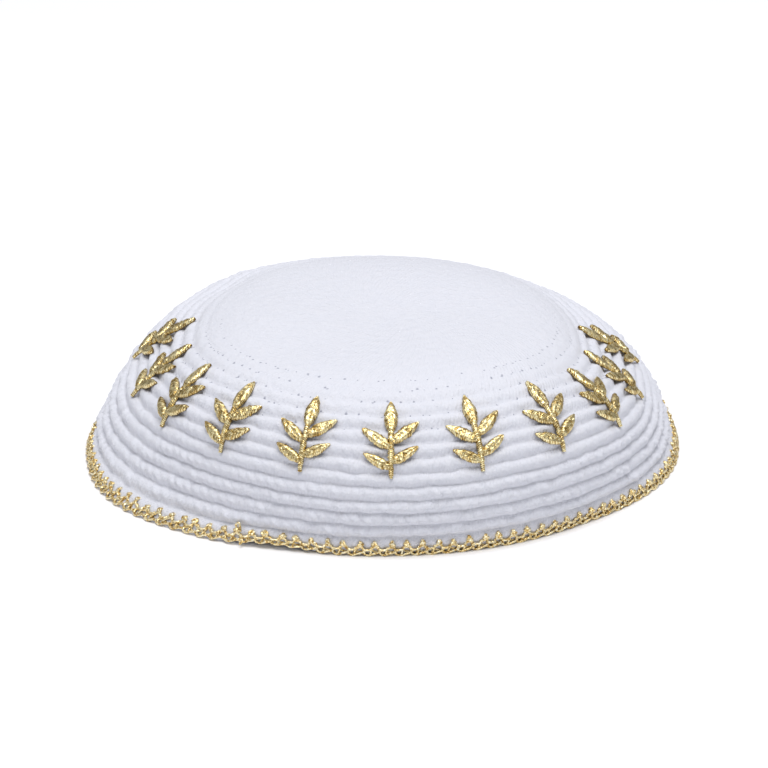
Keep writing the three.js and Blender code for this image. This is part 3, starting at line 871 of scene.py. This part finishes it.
def sprig(number, direction):
    """One sprig laid on the cloth at a direction; it stands for its solid in the construction."""
    seed = 100 * (number + 1)
    stem_top = LEAVES[0]["from"] * SPRIG_HEIGHT + 0.25 * LEAF_LENGTH
    parts = [satin_strip((0, 0), (0, stem_top), stem_width, slant=0.3, valley=0.0, seed=seed, across=8)]
    for k, leaf in enumerate(LEAVES):
        turn = math.radians(leaf["turn"])
        start = np.array([0, leaf["from"] * SPRIG_HEIGHT])
        end = start + leaf["length"] * LEAF_LENGTH * np.array([math.sin(turn), math.cos(turn)])
        width = leaf_width(leaf["width"])
        parts.append(satin_strip(start, end, width, slant=0.5, valley=0.3, seed=seed + k + 1))
    flat, blocks = gather(parts)
    share = SPRIG_SHARE - (flat[:, 1] - 0.5 * SPRIG_HEIGHT) / FOLD_LENGTH
    here = np.full(len(flat), direction)
    walked = np.linalg.norm(plain_point(share, here + SLOPE_STEP) - plain_point(share, here), axis=1)
    per_turn = walked / SLOPE_STEP
    points = cloth_point(share, direction + flat[:, 0] / per_turn, CLEARANCE + flat[:, 2])
    name = f"sprig_{number + 1:02d}"
    piece = make_piece(f"satin_{name}", points, blocks, EMBROIDERY_GOLD)
    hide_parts(name)


sprig_directions = even_directions(SPRIG_SHARE, SPRIG_PLACES)
for number in range(SPRIG_COUNT):
    sprig(number, sprig_directions[(number - (SPRIG_COUNT - 1) // 2) % SPRIG_PLACES])

# %% [markdown]
# The cap lies on a plain white table top, which isn't part of it.

# %% The table
TABLE_REACH = 3.0


def white_table():
    """The table top, a stage piece."""
    mesh = bpy.data.meshes.new("table")
    corners = [(x * TABLE_REACH, y * TABLE_REACH, 0) for x, y in ((-1, -1), (1, -1), (1, 1), (-1, 1))]
    mesh.from_pydata(corners, [], [(0, 1, 2, 3)])
    material, _, _ = new_material("matte white laminate", {
        "Base Color": linear("#f8f8fa"), "Roughness": 0.9, "Specular IOR Level": 0.2})
    mesh.materials.append(material)
    table = bpy.data.objects.new("table", mesh)
    bpy.context.collection.objects.link(table)


white_table()

# %% [markdown]
# The light is a studio tent, brightest overhead and dimmer towards its sides, with one broad soft
# light high above. So the crown is bright, each rib shades off into the groove below it, and the
# metallic yarn has something dark to reflect.

# %% Light
def studio_tent(overhead, sides):
    """A world that goes from the overhead brightness down to the brightness of the sides."""
    world = bpy.data.worlds.new("tent")
    world.use_nodes = True
    tree = world.node_tree
    spot = add_node(tree, "ShaderNodeTexCoord")
    way = add_node(tree, "ShaderNodeSeparateXYZ", inputs={"Vector": spot.outputs["Generated"]})
    strength = add_node(tree, "ShaderNodeMapRange", inputs={
        "Value": way.outputs["Z"], "From Min": 0.05, "From Max": 0.8, "To Min": sides, "To Max": overhead})
    background = tree.nodes["Background"]
    background.inputs["Color"].default_value = linear("#f9faff")
    tree.links.new(strength.outputs["Result"], background.inputs["Strength"])
    bpy.context.scene.world = world


def soft_light(name, place, size, power):
    """A round soft light that faces the cap."""
    data = bpy.data.lights.new(name, "AREA")
    data.shape = "DISK"
    data.size = size
    data.energy = power
    light = bpy.data.objects.new(name, data)
    light.location = place
    light.rotation_euler = Vector(place).to_track_quat("Z", "Y").to_euler()
    bpy.context.collection.objects.link(light)


studio_tent(0.855, 0.14)
soft_light("overhead", (0.06, -0.62, 2.0), 1.3, 27)

# %% [markdown]
# The photograph looks down on the cap by 25 degrees through a long lens, so the camera stands a
# metre away. It aims a little to the side of the cap and above the table, where the picture's
# centre falls.

# %% Camera
ELEVATION = math.radians(25)
DISTANCE = 1.0
PICTURE = 768
FOCAL_PIXELS = 3122
stand = Vector((-0.0006, 0.0018, 0))
aim = Vector((0.0011, 0.0018, 0.0201))
camera_data = bpy.data.cameras.new("camera")
camera_data.sensor_width = 36
camera_data.lens = FOCAL_PIXELS / PICTURE * camera_data.sensor_width
camera = bpy.data.objects.new("camera", camera_data)
camera.location = stand + DISTANCE * Vector((0, -math.cos(ELEVATION), math.sin(ELEVATION)))
camera.rotation_euler = (aim - camera.location).to_track_quat("-Z", "Y").to_euler()
bpy.context.collection.objects.link(camera)
bpy.context.scene.camera = camera
bpy.context.scene.view_settings.view_transform = "Standard"
